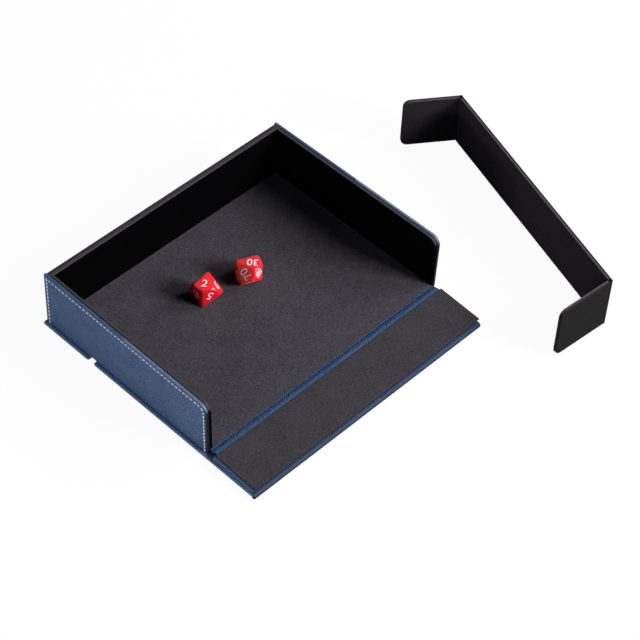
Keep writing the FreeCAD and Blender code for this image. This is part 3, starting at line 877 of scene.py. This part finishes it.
for side, fold, headings in (("left", LEFT_FOLD, (MIDDLE, LEFT)),
                             ("right", RIGHT_FOLD, (MIDDLE + math.pi, RIGHT))):
    corner = fold.xy
    ways = [Vector((math.cos(heading), math.sin(heading))) for heading in headings]
    inside = (ways[0] + ways[1]).normalized()
    start, end = (corner + way * (FOLD_GAP + FOLD_LAP) for way in ways)
    bend_fold(side, "skin", start, corner.lerp((start + end) / 2, SKIN_DEEP), end, SKIN_THICK,
              outside, "divider_outside", [f"divider_{side}_fold"])
    cover_node(f"divider_{side}_fold", outside)
    start, end = (corner + way * (FOLD_GAP + LAYER + FOLD_LAP)
                  + (inside - way * inside.dot(way)).normalized() * NAP_INSET for way in ways)
    bend_fold(side, "lining", start, corner + inside * NAP_DEEP, end, NAP_THICK,
              divider_nap, "divider_inside")


# ---------------------------------------------------------------- dice
# Two ten-sided dice cast in red resin and polished, with numerals filled in white. One counts
# ones and the other tens. Each lies on a face, so the face opposite is on top.
TIP, DIE_EDGE, FACES = 11.8, 0.38, 10
RING = TIP * math.tan(math.pi / FACES) ** 2
WAIST = math.sqrt(TIP ** 2 - RING ** 2)
SLOPE = math.atan2(TIP + RING, WAIST)
FACE_OUT = TIP * math.cos(SLOPE)
NUMERAL_DOWN, NUMERAL_PROUD, INK_THICK = 2.4, 0.01, 0.05


def resin_finish():
    """Polished red resin with faint swirls."""
    finish = Finish("red_die", Coat_Weight=0.08, Coat_Roughness=0.15, Specular_IOR_Level=0.28,
                    Subsurface_Weight=0.7, Subsurface_Scale=0.009, Subsurface_Radius=(1.0, 0.15, 0.1))
    swirl = finish.noise(7, 2)
    finish.set(Base_Color=finish.mix(swirl, rgb(222, 16, 36), rgb(246, 34, 48)),
               Roughness=0.34 + swirl * 0.05)
    return finish


def ink_finish():
    """White paint in the numerals."""
    finish = Finish("die_ink", Specular_IOR_Level=0.2)
    spots = finish.noise(0.6, 2)
    finish.set(Base_Color=finish.mix(spots, rgb(250, 244, 244), rgb(236, 226, 228)), Roughness=0.5)
    return finish


def polished_die(node):
    """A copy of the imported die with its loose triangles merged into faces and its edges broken."""
    die = bpy.data.objects.new(f"{node}_resin", frame["nodes"][node].data.copy())
    bpy.context.collection.objects.link(die)
    die.data.name = die.name
    select_only(die)
    bpy.ops.object.mode_set(mode="EDIT")
    bpy.ops.mesh.select_all(action="SELECT")
    bpy.ops.mesh.remove_doubles(threshold=0.01 * MM)
    bpy.ops.mesh.dissolve_limited(angle_limit=math.radians(2))
    bpy.ops.object.mode_set(mode="OBJECT")
    return soften(die, DIE_EDGE, 4)


def numeral(word, tall, lie, number, sideways):
    """One face's numeral in thin ink, on a die that lies as the matrix says."""
    side = -1 if number % 2 else 1
    spin = Matrix.Rotation(2 * math.pi / FACES * number, 3, "Z")
    out = spin @ Vector((math.sin(SLOPE), 0, side * math.cos(SLOPE)))
    to_tip = spin @ Vector((-math.cos(SLOPE), 0, side * math.sin(SLOPE)))
    across = to_tip.cross(out)
    right, up = (to_tip, -across) if sideways else (across, to_tip)
    bpy.ops.object.select_all(action="DESELECT")
    bpy.ops.object.text_add()
    text = bpy.context.object.data
    text.body = word
    text.align_x, text.align_y = "CENTER", "CENTER"
    text.size = tall * MM
    text.extrude = INK_THICK * MM
    bpy.ops.object.convert(target="MESH")
    mark = bpy.context.object
    spot = out * (FACE_OUT + NUMERAL_PROUD) - to_tip * NUMERAL_DOWN
    face = Matrix((right, up, out)).transposed().to_4x4()
    mark.data.transform(lie @ Matrix.Translation(spot * MM) @ face)
    return mark


resin, ink = resin_finish(), ink_finish()
for node, body, turned, words, sideways, tall in (
    ("first_die", "die_1", 215, "2 5 6 1 4 7 0 3 9 8", False, 8.6),
    ("second_die", "die_2", 310, "30 90 50 10 60 00 40 20 70 80", True, 7.8),
):
    dress(polished_die(node), resin, "red_die", body, [node])
    low, high = like(node)
    centre = Vector(((low[0] + high[0]) / 2, (low[1] + high[1]) / 2, low[2] + FACE_OUT))
    lie = (Matrix.Translation(centre * MM) @ Matrix.Rotation(math.radians(turned), 4, "Z")
           @ Matrix.Rotation(-SLOPE, 4, "Y"))
    marks = [numeral(word, tall, lie, number, sideways) for number, word in enumerate(words.split())]
    dress(joined(marks, f"{node}_numerals"), ink, "red_die", body)
    cover_node(node, resin)


# ---------------------------------------------------------------- table
# A plain white table under everything. It keeps the object's shadow, faintly, because most of
# what the camera sees of it is its own even white.
TABLE_WIDE, TABLE_WHITE = 6000, 0.95


def seen_directly(nodes):
    """1 for what the camera, a reflection or glass sees, 0 for light that falls on things."""
    camera, glossy, through = (nodes.node("LightPath", output=name) for name in
                               ("Is Camera Ray", "Is Glossy Ray", "Is Transmission Ray"))
    return camera.most(glossy).most(through)


def table_finish():
    """White laminate, with the even white laid over it."""
    finish = Finish("table_white", Roughness=0.9, Specular_IOR_Level=0.0)
    finish.set(Base_Color=finish.mix(finish.noise(40), rgb(250, 250, 250), rgb(254, 254, 254)))
    even = finish.node("Emission", Color=(1, 1, 1, 1), Strength=1.0)
    both = finish.node("MixShader", slots={0: seen_directly(finish) * TABLE_WHITE,
                                           1: Value(finish.shader.outputs[0]), 2: even})
    feed(finish.tree.nodes["Material Output"].inputs["Surface"], both)
    return finish


bpy.ops.object.select_all(action="DESELECT")
bpy.ops.mesh.primitive_plane_add(size=TABLE_WIDE * MM)
table = bpy.context.object
table.name = "table"
table.data.materials.append(table_finish().material)


# ---------------------------------------------------------------- light
# A soft key light from the front, a weaker one from the right that opens its shadows, a low
# one along the table from the left, and a little light from all round.
AMBIENT = 0.026
world = bpy.data.worlds.new("surround")
world.use_nodes = True
sky = world.node_tree.nodes["Background"]
sky.inputs["Color"].default_value = (1, 1, 1, 1)
feed(sky.inputs["Strength"], seen_directly(Nodes(world.node_tree)) * (1 - AMBIENT) + AMBIENT)
bpy.context.scene.world = world


def soft_light(name, position, wide, tall, power):
    """A soft box that faces the tray, its place in millimetres and its power in watts."""
    bpy.ops.object.light_add(type="AREA", location=Vector(position) * MM)
    light = bpy.context.object
    light.name = name
    light.data.shape = "RECTANGLE"
    light.data.size, light.data.size_y = wide * MM, tall * MM
    light.data.energy = power
    light.rotation_euler = (-Vector(position)).to_track_quat("-Z", "Y").to_euler()


soft_light("key", (1050, -2140, 1280), 950, 850, 98)
soft_light("fill", (1980, -920, 1440), 1000, 1000, 35)
soft_light("side", (-1350, -350, 300), 600, 120, 8.5)
